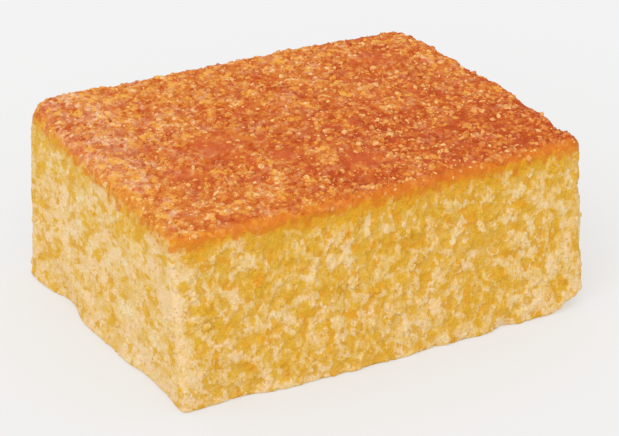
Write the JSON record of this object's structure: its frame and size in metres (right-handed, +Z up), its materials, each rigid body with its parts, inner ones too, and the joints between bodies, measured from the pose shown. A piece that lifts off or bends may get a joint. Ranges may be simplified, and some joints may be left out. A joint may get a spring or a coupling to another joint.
{
  "type": "cornbread square",
  "caption": "Rectangular piece of cornbread with yellow crumb on its cut sides and a thin browned crust on top, resting flat.",
  "frame": {"origin": "middle of the base of the box round the piece, on the surface it rests on", "axes": "+X along the long cut face, +Y from the front cut face to the back, +Z up through the crust"},
  "size_m": [0.092, 0.071, 0.0376],
  "materials": {
    "crumb": "matte open crumb, golden yellow with pale tufts and deeper golden pores",
    "crust": "browned orange-brown crust, pebbly, with pale cornmeal grains and a faint sheen"
  },
  "bodies": {
    "root": {"cornbread_square": "crumb"}
  },
  "joints": []
}
